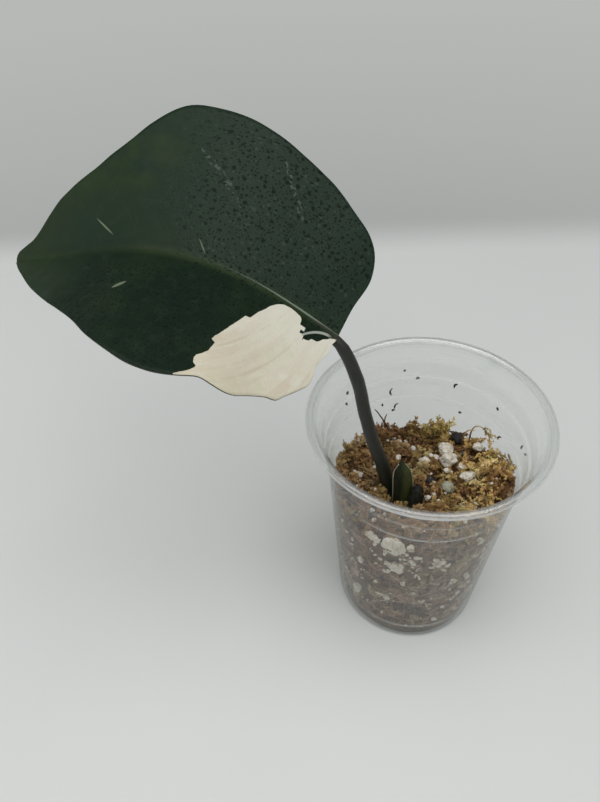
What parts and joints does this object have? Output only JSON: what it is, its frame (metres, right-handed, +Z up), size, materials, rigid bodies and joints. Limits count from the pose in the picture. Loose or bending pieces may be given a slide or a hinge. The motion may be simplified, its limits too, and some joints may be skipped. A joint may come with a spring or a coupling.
{
  "type": "potted white knight philodendron",
  "caption": "Rooted leaf cutting of a white-variegated philodendron: one broad blade on a dark stalk, in moss and perlite in a clear tapered cup.",
  "frame": {"origin": "centre of the bounding box's underside, on the surface that the cup stands on", "axes": "+Z up along the cup's axis, -Y towards the viewer of the picture, the leaf hangs out towards -X"},
  "size_m": [0.2076, 0.1118, 0.2146],
  "materials": {
    "cup_plastic": "clear thin thermoformed plastic",
    "moss": "damp shredded sphagnum, golden brown",
    "leaf": "waxy dark green with a cream-white sector beside the base",
    "stem": "dark purple-green, pale fleshy roots",
    "sheath": "dark green with cream margins",
    "perlite": "matt puffed white mineral",
    "bark": "charred, matt"
  },
  "bodies": {
    "root": {"cup": "cup_plastic", "moss": "moss", "leaf": "leaf", "stem": "stem", "sheath": "sheath", "perlite_top_1": "perlite", "perlite_top_2": "perlite", "perlite_top_3": "perlite", "perlite_top_4": "perlite", "perlite_top_5": "perlite", "perlite_top_6": "perlite", "perlite_top_7": "perlite", "perlite_top_8": "perlite", "perlite_top_9": "perlite", "perlite_top_10": "perlite", "perlite_top_11": "perlite", "perlite_top_12": "perlite", "perlite_top_13": "perlite", "perlite_wall_1": "perlite", "perlite_wall_2": "perlite", "perlite_wall_3": "perlite", "perlite_wall_4": "perlite", "perlite_wall_5": "perlite", "perlite_wall_6": "perlite", "perlite_wall_7": "perlite", "perlite_wall_8": "perlite", "perlite_wall_9": "perlite", "perlite_wall_10": "perlite", "perlite_wall_11": "perlite", "perlite_wall_12": "perlite", "perlite_wall_13": "perlite", "perlite_wall_14": "perlite", "perlite_wall_15": "perlite", "perlite_wall_16": "perlite", "bark_1": "bark", "bark_2": "bark"}
  },
  "joints": []
}
